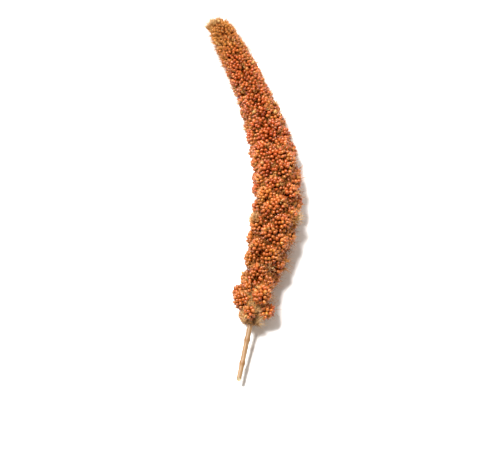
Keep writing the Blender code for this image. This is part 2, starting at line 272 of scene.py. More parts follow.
# The branches to the loose clusters: where they start, and how they bow and taper
BRANCH_OUT = 0.15
BRANCH_BACK = 0.35
BRANCH_BOW = 0.9 * MM
BRANCH_RADII = (0.85, 0.55)
BRANCH_STEPS = 5

# The stalk's fine ribs, and its cut end, whose rings step in to a pith a little below the rim
STALK_RIBS = 10
STALK_RIB_DEPTH = 0.028
CUT_BLEND = 1.2 * MM
CUT_SHARES = np.array([0.30, 0.62, 0.86, 1.0])
CUT_DIPS = np.array([0.25, 0.18, 0.02, -0.02]) * MM
CUT_PITH = (1.0, 1.0, 0.8, 0.1)

# Where the head stands in the photo's frame of 500 by 453 pixels
FRAME_SIZE = (500, 453)
METRES_PER_PIXEL = 0.00049
CHORD_MIDDLE_PIXEL = (232.5, 168.0)
CAMERA_ELEVATION = math.radians(69.5)
CAMERA_HEADING = math.radians(6.0)
CAMERA_DISTANCE = 0.95
CAMERA_CLIP = (0.01, 20.0)
SENSOR_WIDTH = 36.0

# The key light is a far, wide softbox, so the floor stays evenly lit; the others are near and
# weak. The fill light is a little warm, so that the shaded sides of the grains stay brown
KEY = {"energy": 8.7, "angle": math.radians(18.0)}
FILL = {"energy": 5.0, "size": 0.8, "color": (1.0, 0.84, 0.68)}
BACK = {"energy": 5.0, "size": 0.6}
LIGHTS = (
    ("key_light", "SUN", (-0.30, 0.38, 0.90), KEY),
    ("fill_light", "AREA", (0.80, -0.55, 0.75), FILL),
    ("back_light", "AREA", (0.15, 0.95, 0.70), BACK),
)
WORLD_STRENGTH = 0.18

# Kinds of node, and the sockets of one that mixes colours: its share, both colours, its result
ATTRIBUTE, RAMP, MIX = "ShaderNodeAttribute", "ShaderNodeValToRGB", "ShaderNodeMix"
BUMP = "ShaderNodeBump"
SHARE, UNDER, OVER, MIXED = 0, 6, 7, 2


def linear(hex_colour):
    """Linear red, green, blue and alpha of an sRGB hex colour."""
    shares = [int(hex_colour[k : k + 2], 16) / 255 for k in (1, 3, 5)]
    return (*(s / 12.92 if s <= 0.04045 else ((s + 0.055) / 1.055) ** 2.4 for s in shares), 1.0)


# Forms in straight coordinates


def smooth_profile(where, places, values):
    """Cubic pieces through the given points, with centred slopes and level at both ends."""
    places, values = np.asarray(places), np.asarray(values)
    slopes = np.gradient(values, places)
    slopes[0] = slopes[-1] = 0.0
    where = np.clip(where, places[0], places[-1])
    k = np.clip(np.searchsorted(places, where, side="right") - 1, 0, len(places) - 2)
    width = places[k + 1] - places[k]
    t = (where - places[k]) / width
    return (
        values[k] * (1 + 2 * t) * (1 - t) ** 2
        + values[k + 1] * t**2 * (3 - 2 * t)
        + width * (slopes[k] * t * (1 - t) ** 2 - slopes[k + 1] * t**2 * (1 - t))
    )


def head_radius(along):
    """Outer radius of the head: its girth, closed at the tip as a quarter of an ellipse."""
    closing = np.clip((along - (HEAD_LENGTH - TIP_ROUND)) / TIP_ROUND, 0, 1)
    return smooth_profile(along, GIRTH_AT, GIRTH) * np.sqrt(1 - closing**2)


def bend(straight):
    """World points: in plan the axis is the running sum of the sine and cosine of its heading,
    across is square to it, and height is the axis's lift plus up.

    Heights under PRESS_TOP become PRESS_TOP (1 - t)^p, where t runs from 0 there to 1 at
    PRESS_FLOOR, and p makes the slope at PRESS_TOP one.
    """
    across, up, along = np.moveaxis(straight, -1, 0)
    places = np.linspace(-STALK_LENGTH - AXIS_SPARE, HEAD_LENGTH + AXIS_SPARE, AXIS_STEPS)
    turned = smooth_profile(places, HEADING_AT, np.radians(HEADING))
    step = places[1] - places[0]
    heading = np.interp(along, places, turned)
    axis_x = np.interp(along, places, np.cumsum(np.sin(turned)) * step)
    axis_y = np.interp(along, places, np.cumsum(np.cos(turned)) * step)
    x = axis_x + across * np.cos(heading) - PLAN_MIDDLE[0]
    y = axis_y - across * np.sin(heading) - PLAN_MIDDLE[1]
    height = smooth_profile(along, LIFT_AT, LIFT) + up
    span = PRESS_TOP - PRESS_FLOOR
    t = np.clip((PRESS_TOP - height) / span, 0, 1)
    pressed = PRESS_TOP * (1 - t) ** (span / PRESS_TOP)
    return np.stack([x, y, np.where(t > 0, pressed, height)], axis=-1)


def unit(vectors):
    return vectors / np.linalg.norm(vectors, axis=-1, keepdims=True)


def angles(sides):
    """Evenly spread angles of a full turn."""
    return np.arange(sides) * 2 * math.pi / sides


def polar(radius, turn, along):
    """Straight points r from the axis: (r cos v, r sin v, s)."""
    around = radius * np.cos(turn), radius * np.sin(turn)
    return np.stack(np.broadcast_arrays(*around, along), axis=-1)


def cluster_axes(turn, lean):
    """Rows long, wide and thick of each cluster: long leans from straight out to the tip."""
    out = polar(1.0, turn, 0.0)
    cos, sin = np.cos(lean)[:, None], np.sin(lean)[:, None]
    side = np.cross(TIPWARD, out)
    return np.stack([out * cos + TIPWARD * sin, side, TIPWARD * cos - out * sin], axis=1)


def body_clusters():
    """Centres, axes and half sizes of the body's clusters, on a golden-angle spiral spaced by
    area, with one at the end that closes the tip."""
    rng = np.random.default_rng(CLUSTER_SEED)
    along = np.linspace(CLUSTER_AT[0], CLUSTER_AT[-1], CLUSTER_STEPS)
    step = smooth_profile(along, CLUSTER_AT, CLUSTER_STEP)
    per_metre = 2 * math.pi * head_radius(along) / (HEX_AREA * step**2)
    counts = (per_metre[1:] + per_metre[:-1]) / 2 * np.diff(along)
    total = np.concatenate([[0], np.cumsum(counts)])
    index = np.arange(int(total[-1]))
    at = np.interp(index + 0.5, total, along)
    step = smooth_profile(at, CLUSTER_AT, CLUSTER_STEP)
    scatter = rng.uniform(-1, 1, (4, len(index)))
    at = at + PLACE_SCATTER * step * scatter[0]
    turn = index * GOLDEN_TURN + TURN_SCATTER * step / head_radius(at) * scatter[1]
    scale = 1 + SIZE_SCATTER * scatter[2]
    lean = np.radians(smooth_profile(at, CLUSTER_AT, CLUSTER_LEAN) + LEAN_SCATTER * scatter[3])
    plump = smooth_profile(at, CLUSTER_AT, CLUSTER_PLUMP)
    sizes = np.stack([CLUSTER_DEPTH * step, plump * step, plump * step], axis=-1)
    sizes = sizes * scale[:, None]
    extent = np.hypot(sizes[:, 0] * np.cos(lean), sizes[:, 2] * np.sin(lean))
    reach = np.maximum(head_radius(at) * (1 + REACH_SCATTER * scatter[2]) - extent, 0.0)
    end = HEAD_LENGTH - TIP_ROUND
    end_radius = head_radius(np.array([end]))[0]
    centre = np.vstack([polar(reach, turn, at), [0, 0, end]])
    sizes = np.vstack([sizes, [TIP_ROUND, end_radius, end_radius]])
    return centre, cluster_axes(np.append(turn, 0.0), np.append(lean, math.pi / 2)), sizes


def loose_clusters():
    """Centres, axes and half sizes of the loose clusters at the stalk end, growing towards the
    head."""
    share = np.linspace(0, 1, LOOSE_COUNT)
    turn = LOOSE_TURN + np.arange(LOOSE_COUNT) * GOLDEN_TURN
    radius = LOOSE_RADIUS[0] + share * (LOOSE_RADIUS[1] - LOOSE_RADIUS[0])
    reach = LOOSE_REACH[0] + share * (LOOSE_REACH[1] - LOOSE_REACH[0])
    at = LOOSE_FROM + LOOSE_STEP * np.arange(LOOSE_COUNT)
    lowest = LOOSE_PRESS * radius - smooth_profile(at, LIFT_AT, LIFT)
    centre = polar(reach, turn, at)
    centre[:, 1] = np.maximum(centre[:, 1], lowest)
    axes = cluster_axes(turn, np.full(LOOSE_COUNT, LOOSE_LEAN))
    return centre, axes, np.stack([radius * LOOSE_STRETCH, radius, radius], axis=-1)


def out_to_envelope(along, turn, drawn_in=0.0):
    """Distance from the axis to the furthest cluster surface, on rays square to the axis, the
    clusters being drawn in by a length.

    In a cluster's own unit ball the ray is q + r d, so r is the larger root of |q + r d| = 1.
    """
    centre, axes, sizes = body_clusters()
    matrix = axes / np.maximum(sizes - drawn_in, LEAST_CLUSTER)[:, :, None]
    radius = np.zeros(len(along))
    for start in range(0, len(along), TABLE_ROWS):
        rows = slice(start, start + TABLE_ROWS)
        from_centre = (along[rows, None] * TIPWARD)[:, None] - centre[None]
        q = np.einsum("cij,vcj->vci", matrix, from_centre)
        d = np.einsum("cij,vj->vci", matrix, polar(1.0, turn[rows], 0.0))
        a, b, c = (d * d).sum(-1), (q * d).sum(-1), (q * q).sum(-1) - 1
        inside = b * b - a * c
        reach = np.where(inside > 0, (np.sqrt(np.maximum(inside, 0)) - b) / a, 0.0)
        radius[rows] = reach.max(axis=1)
    return radius


def inner_radius(along, turn):
    """Radius of the dark inner body: the clusters' envelope drawn in, but never under a core."""
    drawn_in = out_to_envelope(along, turn, BODY_INSET)
    return np.maximum(drawn_in, BODY_SHARES[0] * head_radius(along))


# Meshes


def closed_bodies(rings, foot, top):
    """Straight points and triangles of many closed bodies of the same build.

    rings is (bodies, rings, sides, 3), and each end is a fan round its pole. Rings turn to the
    left as seen from the top. bend() mirrors them, and the faces then point outwards.
    """
    count, rows, sides = rings.shape[:3]
    k = np.arange(sides)
    n = (k + 1) % sides
    low = np.arange(rows - 1)[:, None] * sides
    last = (rows - 1) * sides
    pole = np.full(sides, rows * sides)
    corners = (
        (low + n, low + k, low + n + sides),
        (low + n + sides, low + k, low + k + sides),
        (k, n, pole),
        (last + n, last + k, pole + 1),
    )
    faces = np.concatenate([np.stack(three, axis=-1).reshape(-1, 3) for three in corners])
    points = np.concatenate([rings.reshape(count, -1, 3), foot[:, None], top[:, None]], axis=1)
    triangles = faces[None] + np.arange(count)[:, None, None] * (rows * sides + 2)
    return points.reshape(-1, 3), triangles.reshape(-1, 3)


def cross_frames(forward, hint):
    """Two directions square to forward and to each other, the first as near hint as can be."""
    side = unit(hint - forward * (hint * forward).sum(-1, keepdims=True))
    return side, np.cross(forward, side)


def outgrowing(out, lean, scatter, rng):
    """Directions that point out, lean towards the head's tip and scatter at random."""
    return unit(out + lean * TIPWARD + rng.normal(0, scatter, out.shape))


def tubes(paths, radii, sides):
    """Rings of round bars: at each path point p the ring is p + r (cos v side + sin v third).

    paths is (bars, points, 3) and radii is (bars, points). No bar runs along the hint.
    """
    side, third = cross_frames(unit(paths[:, -1] - paths[:, 0]), np.array([0.31, 0.52, 0.79]))
    v = angles(sides)[:, None]
    ring = np.cos(v) * side[:, None] + np.sin(v) * third[:, None]
    return paths[:, :, None] + radii[:, :, None, None] * ring[:, None]


def add_piece(name, points, triangles, material, slot_name="grain", node="seed_head", **marks):
    """Puts a finished piece into the scene: its straight points bent onto the axis, its marks,
    each a number or a vector at every point, its material, and its place in the frame."""
    mesh = bpy.data.meshes.new(name)
    mesh.vertices.add(len(points))
    mesh.vertices.foreach_set("co", bend(points).ravel())
    mesh.loops.add(triangles.size)
    mesh.loops.foreach_set("vertex_index", triangles.ravel())
    mesh.polygons.add(len(triangles))
    mesh.polygons.foreach_set("loop_start", np.arange(0, triangles.size, 3))
    mesh.update(calc_edges=True)
    for label, values in marks.items():
        kind, field = ("FLOAT", "value") if values.ndim == 1 else ("FLOAT_VECTOR", "vector")
        mesh.attributes.new(label, kind, "POINT").data.foreach_set(field, values.ravel())
    mesh.shade_smooth()
    mesh.materials.append(material)
    piece = bpy.data.objects.new(name, mesh)
    bpy.context.scene.collection.objects.link(piece)
    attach(piece, "root")
    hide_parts(node)


# Where the spikelets sit, each a grain with its husk and bristles


Places = collections.namedtuple("Places", "place normal owner scale open bare")


@functools.lru_cache(maxsize=1)
def grain_places(pitch, grain_length):
    """Places, outward directions, clusters, scales and painted light of all spikelets that can be
    seen, and which of them are bare.

    Each cluster is an ellipsoid, drawn in so that the grains' ends reach its surface. Points
    spread over it on a golden-angle spiral, one for each hexagon of the pitch, and are moved a
    little at random. A point goes if it lies inside another cluster, behind the dark inner body,
    or too near a point of another cluster that is further out. The painted light falls from 1 with
    the depth under the clusters' envelope and under the head's girth: it is painted shade, so
    seams are darker.
    """
    rng = np.random.default_rng(SEEDS["places"])
    body, loose_ones = body_clusters(), loose_clusters()
    centre, axes, sizes = (np.concatenate(pair) for pair in zip(body, loose_ones))
    sink = GRAIN_SINK * grain_length
    sizes = sizes - sink
    step = pitch * smooth_profile(centre[:, 2], PITCH_AT, PITCH_SHARE)
    a, b, c = (sizes**AREA_POWER).T
    area = 4 * math.pi * ((a * b + a * c + b * c) / 3) ** (1 / AREA_POWER)
    count = np.round(area / (HEX_AREA * step**2)).astype(int)
    owner = np.repeat(np.arange(len(count)), count)
    index = np.arange(count.sum()) - np.repeat(np.cumsum(count) - count, count)
    height = 1 - (2 * index + 1) / count[owner]
    ring = np.sqrt(np.maximum(1 - height**2, 0))
    ball = polar(ring, index * GOLDEN_TURN, height)[:, [2, 0, 1]]
    jitter = PLACE_JITTER * (step / sizes.min(axis=1))[owner]
    ball = unit(ball + jitter[:, None] * rng.normal(0, 1, ball.shape))
    place = centre[owner] + np.einsum("pi,pij->pj", ball * sizes[owner], axes[owner])
    normal = unit(np.einsum("pi,pij->pj", ball / sizes[owner], axes[owner]))
    place = place + RELIEF * rng.uniform(-1, 1, len(place))[:, None] * normal

    deep = np.einsum("kij,pkj->pki", axes / sizes[:, :, None], place[:, None] - centre[None])
    level = np.linalg.norm(deep, axis=-1)
    level[np.arange(len(owner)), owner] = np.inf
    out, turn = np.hypot(place[:, 0], place[:, 1]), np.arctan2(place[:, 1], place[:, 0])
    loose = owner >= len(body[0])
    in_front = out > inner_radius(place[:, 2], turn) - BEHIND_SHARE * grain_length
    kept = np.flatnonzero((level.min(axis=1) > INSIDE_SHARE) & (loose | in_front))
    least = CROWDED_SHARE * step[owner]
    crowded = np.zeros(len(owner), bool)
    for start in range(0, len(kept), TABLE_ROWS):
        rows = kept[start : start + TABLE_ROWS]
        apart = np.linalg.norm(place[rows, None] - place[kept], axis=-1)
        near = (apart < least[rows, None]) & (owner[rows, None] != owner[kept])
        crowded[rows] = (near & (out[kept] > out[rows, None])).any(axis=1)
    kept = kept[~crowded[kept]]
    columns = place, normal, owner, loose, out, turn, step[owner]
    place, normal, owner, loose, out, turn, step = (column[kept] for column in columns)

    # Painted shade: the painted light falls with the depth under the envelope and under the girth
    sunk = np.maximum(out_to_envelope(place[:, 2], turn), out) - sink - out
    seam = head_radius(place[:, 2]) - sink - out - SEAM_FREE
    shade = np.clip(sunk, 0, None) / ENVELOPE_SHADE_DEPTH + np.clip(seam, 0, None) / SEAM_SHADE_DEPTH
    painted_lightness = np.where(loose, 1.0, np.exp(-shade))
    bare = rng.uniform(0, 1, len(place)) < BARE_SHARE
    for along, angle, radius in BARE_PATCHES:
        spot = polar(head_radius(np.array(along)) * PATCH_LEVEL, math.radians(angle), along)
        edge = radius * rng.uniform(*PATCH_EDGE, len(place))
        bare |= np.linalg.norm(place - spot, axis=-1) < edge
    return Places(place, normal, owner, step / pitch, painted_lightness, bare)


def grain_axes(normal, rng):
    """Each grain grows out of its cluster, and is turned at random about its own length."""
    forward = outgrowing(normal, GRAIN_LEAN, GRAIN_SCATTER, rng)
    return forward, *cross_frames(forward, rng.normal(0, 1, normal.shape))


# Materials


def add_node(tree, kind, values=None, links=None, stops=(), feeds=None, **settings):
    """Adds one node: settings are its own fields, values set its inputs, links feed them, stops
    fill its ramp, and its first output feeds a socket."""
    node = tree.nodes.new(kind)
    for field, setting in settings.items():
        setattr(node, field, setting)
    for socket, value in (values or {}).items():
        node.inputs[socket].default_value = value
    for socket, source in (links or {}).items():
        tree.links.new(source, node.inputs[socket])
    for k, (place, colour) in enumerate(stops):
        if k > 1:
            node.color_ramp.elements.new(place)
        node.color_ramp.elements[k].position = place
        node.color_ramp.elements[k].color = colour
    if feeds:
        tree.links.new(node.outputs[0], feeds)
    return node


def new_material(name, colour, roughness, specular=0.5):
    """A material with its colour, roughness and specular level, its tree, and its shader."""
    material = bpy.data.materials.new(name)
    material.use_nodes = True
    shader = material.node_tree.nodes["Principled BSDF"]
    shader.inputs["Base Color"].default_value = colour
    shader.inputs["Roughness"].default_value = roughness
    shader.inputs["Specular IOR Level"].default_value = specular
    material.diffuse_color = colour
    return material, material.node_tree, shader.inputs


def mottling(tree, lump, detail=3.0, stretch=(1.0, 1.0, 1.0), place=None):
    """Natural unevenness: noise with lumps about lump metres across, in the object's own
    coordinates unless a place is given."""
    place = place or add_node(tree, "ShaderNodeTexCoord").outputs["Object"]
    stretched = add_node(tree, "ShaderNodeMapping", {"Scale": stretch}, {"Vector": place})
    values = {"Scale": 1 / lump, "Detail": detail}
    links = {"Vector": stretched.outputs["Vector"]}
    return add_node(tree, "ShaderNodeTexNoise", values, links).outputs["Fac"]


def shaded(tree, colour):
    """Painted shade: a colour darker and browner where open is low, between the grains."""
    stops = [(0.0, linear("#84502A")), (0.32, linear("#BA9068")), (0.66, linear("#FFFFFF"))]
    painted_lightness = add_node(tree, ATTRIBUTE, attribute_name="open").outputs["Fac"]
    shade = add_node(tree, RAMP, links={"Fac": painted_lightness}, stops=stops).outputs["Color"]
    links = {UNDER: colour, OVER: shade}
    mix = add_node(tree, MIX, {SHARE: 1.0}, links, data_type="RGBA", blend_type="MULTIPLY")
    return mix.outputs[MIXED]


def glossy_hull(colours):
    """The hard hull of a millet grain: smooth and glossy, russet to gold, with painted shade that
    makes it browner deep between the grains."""
    material, tree, shader = new_material("glossy_millet_hull", colours.grain_middle, 0.30, 0.75)
    shader["Specular Tint"].default_value = linear("#FFE2CA")
    stops = [(0.0, colours.grain_dark), (0.40, colours.grain_middle)]
    stops += [(0.78, colours.grain_bright), (1.0, colours.gold)]
    tone = add_node(tree, ATTRIBUTE, attribute_name="tone").outputs["Fac"]
    ripeness = add_node(tree, RAMP, links={"Fac": tone}, stops=stops).outputs["Color"]
    gold = add_node(tree, ATTRIBUTE, attribute_name="gold").outputs["Fac"]
    links = {SHARE: gold, UNDER: ripeness}
    golden = add_node(tree, MIX, {OVER: colours.gold}, links, data_type="RGBA").outputs[MIXED]
    stops = [(0.35, linear("#E2C6B4")), (0.65, linear("#FFFFFF"))]
    blotches = add_node(tree, RAMP, links={"Fac": mottling(tree, 5 * MM)}, stops=stops)
    # Painted shade deep between the grains, multiplied into the hull colour
    links = {UNDER: shaded(tree, golden), OVER: blotches.outputs["Color"]}
    hull = add_node(tree, MIX, {SHARE: 1.0}, links, data_type="RGBA", blend_type="MULTIPLY")
    tree.links.new(hull.outputs[MIXED], shader["Base Color"])
    # The hull's own ridges are finer than 0.1 mm and wouldn't show, so they are drawn coarser
    ridged = {"Height": mottling(tree, 0.35 * MM, 2.0)}
    values = {"Strength": 0.25, "Distance": 0.05 * MM}
    add_node(tree, BUMP, values, ridged, feeds=shader["Normal"])
    return material


def dark_inside(colours):
    """Grain stalks and husks deep between the clusters: quite matt, so it stays dark, and
    red-brown. Its near-black colour is painted shade in the gaps between the clusters."""
    material, tree, shader = new_material("shaded_chaff", colours.inside, 1.0, 0.0)
    stops = [(0.35, colours.inside), (0.7, colours.grain_dark)]
    chaff = {"Fac": mottling(tree, 0.9 * MM)}
    add_node(tree, RAMP, links=chaff, stops=stops, feeds=shader["Base Color"])
    lumpy = {"Height": mottling(tree, 0.8 * MM)}
    values = {"Strength": 0.8, "Distance": 0.4 * MM}
    add_node(tree, BUMP, values, lumpy, feeds=shader["Normal"])
    return material


def papery_husk(colours):
    """Glumes: thin papery scales, matt, russet round the grains and pale where the spikelet is
    empty."""
    material, tree, shader = new_material("papery_glume", colours.husk, 0.75, 0.2)
    stops = [(0.0, colours.grain_middle), (0.5, colours.husk), (1.0, colours.husk_pale)]
    tone = add_node(tree, ATTRIBUTE, attribute_name="tone").outputs["Fac"]
    paper = add_node(tree, RAMP, links={"Fac": tone}, stops=stops).outputs["Color"]
    # Painted shade: darker towards the scale's root and in the seams
    tree.links.new(shaded(tree, paper), shader["Base Color"])
    return material


def dry_bristle(name, root, end):
    """Stiff dry bristles and wool: thin straw-like hairs, browner at the root than at the end. On
    the bristles this is painted shade among the grains, deeper in the seams.
    """
    material, tree, shader = new_material(name, end, 0.6, 0.2)
    height = add_node(tree, ATTRIBUTE, attribute_name="height").outputs["Fac"]
    stops = [(0.0, root), (0.75, end)]
    add_node(tree, RAMP, links={"Fac": height}, stops=stops, feeds=shader["Base Color"])
    return material


def felted_stem(colours):
    """The head's own stem under its wool: dull brown, with short felted hair that shows as
    mottling."""
    material, tree, shader = new_material("felted_stem", colours.wool, 0.9, 0.1)
    matted = {"Fac": mottling(tree, 0.5 * MM, 4.0, (1.0, 0.3, 1.0))}
    stops = [(0.30, colours.wool_dark), (0.70, colours.wool)]
    add_node(tree, RAMP, links=matted, stops=stops, feeds=shader["Base Color"])
    # The felt's hairs are about 0.03 mm thick and wouldn't show, so they are drawn coarser
    hairy = {"Height": mottling(tree, 0.3 * MM, 4.0, (1.0, 0.4, 1.0))}
    values = {"Strength": 0.8, "Distance": 0.2 * MM}
    add_node(tree, BUMP, values, hairy, feeds=shader["Normal"])
    return material


def ribbed_straw(colours):
    """Cereal straw: satin, pale tan with fine lengthwise fibres, browner at the joints and pale at
    the cut."""
    material, tree, shader = new_material("ribbed_straw", colours.straw, 0.5)
    # A straw's fibres are about 0.1 mm wide, and are drawn coarser so that they show
    lengthwise = add_node(tree, ATTRIBUTE, attribute_name="straight").outputs["Vector"]
    fibre = mottling(tree, 0.45 * MM, 4.0, (1.0, 1.0, 0.05), lengthwise)
    stops = [(0.30, colours.straw_dark), (0.62, colours.straw)]
    straw = add_node(tree, RAMP, links={"Fac": fibre}, stops=stops).outputs["Color"]
    for label, colour in (("joint", colours.straw_joint), ("pith", colours.pith)):
        share = add_node(tree, ATTRIBUTE, attribute_name=label).outputs["Fac"]
        links = {SHARE: share, UNDER: straw}
        straw = add_node(tree, MIX, {OVER: colour}, links, data_type="RGBA").outputs[MIXED]
    tree.links.new(straw, shader["Base Color"])
    values = {"Strength": 0.5, "Distance": 0.08 * MM}
    add_node(tree, BUMP, values, {"Height": fibre}, feeds=shader["Normal"])
    return material


# Settings


def colour_setting(name, hex_colour, description):
    return bpy.props.FloatVectorProperty(
        name=name,
        description=description,
        subtype="COLOR",
        size=4,
        min=0.0,
        max=1.0,
        default=linear(hex_colour),
    )


def length_setting(name, default, description):
    return bpy.props.FloatProperty(
        name=name,
        description=description,
        default=default,
        min=0.0,
        precision=5,
        subtype="DISTANCE",
    )


class MilletColours(bpy.types.PropertyGroup):
    """Colours of the dried head."""

    grain_dark: colour_setting("Dark grains", "#782A04", "The ripest, darkest hulls")
    grain_middle: colour_setting("Russet grains", "#A54512", "Most of the hulls")
    grain_bright: colour_setting("Bright grains", "#B8622E", "The palest ripe hulls")
    gold: colour_setting("Golden grains", "#AE7428", "Unripe hulls, as at the tip")
    # The chaff's near-black colour is painted shade deep between the clusters
    inside: colour_setting("Inside", "#260700", "Chaff between the clusters")
    husk: colour_setting("Husk scales", "#B87436", "Scales at the foot of the grains")
    husk_pale: colour_setting("Empty husks", "#D3AE74", "Scales that hold no grain")
    bristle: colour_setting("Bristles", "#BC7C38", "Ends of the bristles")
    # The dark bristle roots are painted shade among the grains
    shaded_bristle_root: colour_setting("Bristle roots", "#5E2600", "Roots of the bristles")
    tuft: colour_setting("Tufts", "#D4AF7C", "Ends of the barren tufts")
    tuft_root: colour_setting("Tuft roots", "#8E6034", "Roots of the barren tufts")
    wool: colour_setting("Wool", "#B48C5E", "Felted hair on the stem end")
    wool_dark: colour_setting("Shaded wool", "#7C5029", "Felt close to the stem")
    straw: colour_setting("Straw", "#8C6A42", "The cut stalk")
    straw_dark: colour_setting("Straw fibres", "#664826", "Fibres of the cut stalk")
    straw_joint: colour_setting("Stalk joints", "#7A542C", "The joints of the stalk")
    pith: colour_setting("Pith", "#CDB88C", "The cut end of the stalk")


class MilletSizes(bpy.types.PropertyGroup):
    """Sizes of the head's grains, husks, bristles and wool."""

    pitch: length_setting("Grain pitch", 0.00198, "Distance from grain to grain")
    grain_length: length_setting("Grain length", 0.00225, "Length of a grain")
    grain_width: length_setting("Grain width", 0.00192, "Width of a grain")
    grain_thickness: length_setting("Grain thickness", 0.00172, "Thickness of a grain")
    husk_length: length_setting("Husk length", 0.0015, "Length of a husk scale")
    bristle_length: length_setting("Bristle length", 0.0039, "Length of a usual bristle")
    bristle_radius: length_setting("Bristle radius", 0.00008, "Half its thickness at its root")
    tuft_length: length_setting("Tuft length", 0.0050, "Length of the bristles of a barren tuft")
    wool_length: length_setting("Wool length", 0.0013, "Length of the hairs on the head's stem")
    floor_size: length_setting("Floor size", 12.0, "Width of the pale floor")


# Pieces


class MILLET_OT_inner_body(bpy.types.Operator):
    """Adds the chaff body that closes the gaps between the clusters, near-black as painted shade.
    """

    bl_idname = "millet.inner_body"
    bl_label = "Inner body"

    def execute(self, context):
        rows, sides = 230, 72
        turn = angles(sides)
        along = np.linspace(*BODY_ENDS, rows + 2)
        s, v = (grid.ravel() for grid in np.meshgrid(along[1:-1], turn, indexing="ij"))
        # The inner radius round the axis, which grows at first as the square root of the way along
        rise = np.clip((s - along[0]) / BODY_ROUND, 0, 1) ** 0.5
        radius = np.minimum(inner_radius(s, v), head_radius(s) * BODY_SHARES[1]) * rise
        ends = np.outer(along[[0, -1]], TIPWARD)
        rings = polar(radius, v, s).reshape(1, rows, sides, 3)
        body, faces = closed_bodies(rings, ends[:1], ends[1:])
        # The loose clusters have a drawn-in ball each
        centre, axes, sizes = loose_clusters()
        height = np.linspace(-KNOB_END, KNOB_END, 9)[:, None]
        ball = polar(np.sqrt(1 - height**2), turn[::6], height)[..., [2, 0, 1]]
        half = axes * (sizes - KNOB_INSET)[:, :, None]
        rings = centre[:, None, None] + np.einsum("hvi,kij->khvj", ball, half)
        knobs, knob_faces = closed_bodies(rings, centre - half[:, 0], centre + half[:, 0])
        points, faces = np.vstack([body, knobs]), np.vstack([faces, knob_faces + len(body)])
        add_piece("inner_body", points, faces, dark_inside(context.scene.millet_colours))
        return {"FINISHED"}


class MILLET_OT_grains(bpy.types.Operator):
    """Adds the glossy grains of all clusters, in four stretches of the head."""

    bl_idname = "millet.grains"
    bl_label = "Grains"

    def execute(self, context):
        sizes = context.scene.millet_sizes
        spots = grain_places(sizes.pitch, sizes.grain_length)
        place, normal, owner, scale, painted_lightness, _ = (values[~spots.bare] for values in spots)
        rng = np.random.default_rng(SEEDS["grains"])
        forward, side, third = (axis[:, None, None] for axis in grain_axes(normal, rng))
        along, count = place[:, 2], len(place)
        scale = scale * rng.uniform(*GRAIN_SCALES, count)
        scale = scale * np.interp(along, TIP_SPAN, (1.0, TIP_GRAIN))
        half = 0.5 * scale[:, None, None, None]
        # An egg: at height h its ring is sqrt(1 - h^2) (1 - a h) of its width and thickness
        height, v = GRAIN_HEIGHTS[:, None, None], angles(GRAIN_SIDES)[:, None]
        ring = np.sqrt(1 - height**2) * (1 - GRAIN_SLIMMING * height)
        rings = (
            place[:, None, None]
            + half * sizes.grain_length * height * forward
            + half * sizes.grain_width * (ring * np.cos(v)) * side
            + half * sizes.grain_thickness * (ring * np.sin(v)) * third
        )
        reach = (half * sizes.grain_length * forward)[:, 0, 0]

        clusters = owner.max() + 1
        tone = rng.beta(*RIPENESS_SHAPE, count)
        tone = tone + rng.uniform(-CLUSTER_RIPENESS, CLUSTER_RIPENESS, clusters)[owner]
        tone = np.clip(tone + smooth_profile(along, PALER_AT, PALER), 0, 1)
        share, amount = GOLDEN_CLUSTERS
        golden_cluster = np.where(rng.uniform(0, 1, clusters) < share, amount, 0.0)[owner]
        gold = smooth_profile(along, GOLD_AT, GOLD_SHARE)
        gold = gold + rng.uniform(-GOLD_SCATTER, GOLD_SCATTER, count)
        share, amount = GOLDEN_GRAINS
        gold = gold + np.where(rng.uniform(0, 1, count) < share, amount, golden_cluster)
        gold = np.clip(gold, 0, 1)
        # Painted shade: a grain is darker towards its foot, and its painted light falls in the
        # seams
        per_grain = np.append(np.repeat((GRAIN_HEIGHTS + 1) / 2, GRAIN_SIDES), [0.0, 1.0])
        lit = FOOT_PAINTED_LIGHT + (1 - FOOT_PAINTED_LIGHT) * np.sqrt(per_grain)

        hull = glossy_hull(context.scene.millet_colours)
        loose = owner >= clusters - LOOSE_COUNT
        stretch = np.where(loose, 0, np.searchsorted(STRETCH_ENDS, along))
        for k, name in enumerate(("grains_base", "grains_lower", "grains_middle", "grains_tip")):
            own = stretch == k
            foot, top = place[own] - reach[own], place[own] + GRAIN_POINT * reach[own]
            marks = {
                "tone": np.repeat(tone[own], len(per_grain)),
                "gold": np.repeat(gold[own], len(per_grain)),
                "open": np.outer(painted_lightness[own], lit).ravel(),
            }
            add_piece(name, *closed_bodies(rings[own], foot, top), hull, **marks)
        return {"FINISHED"}


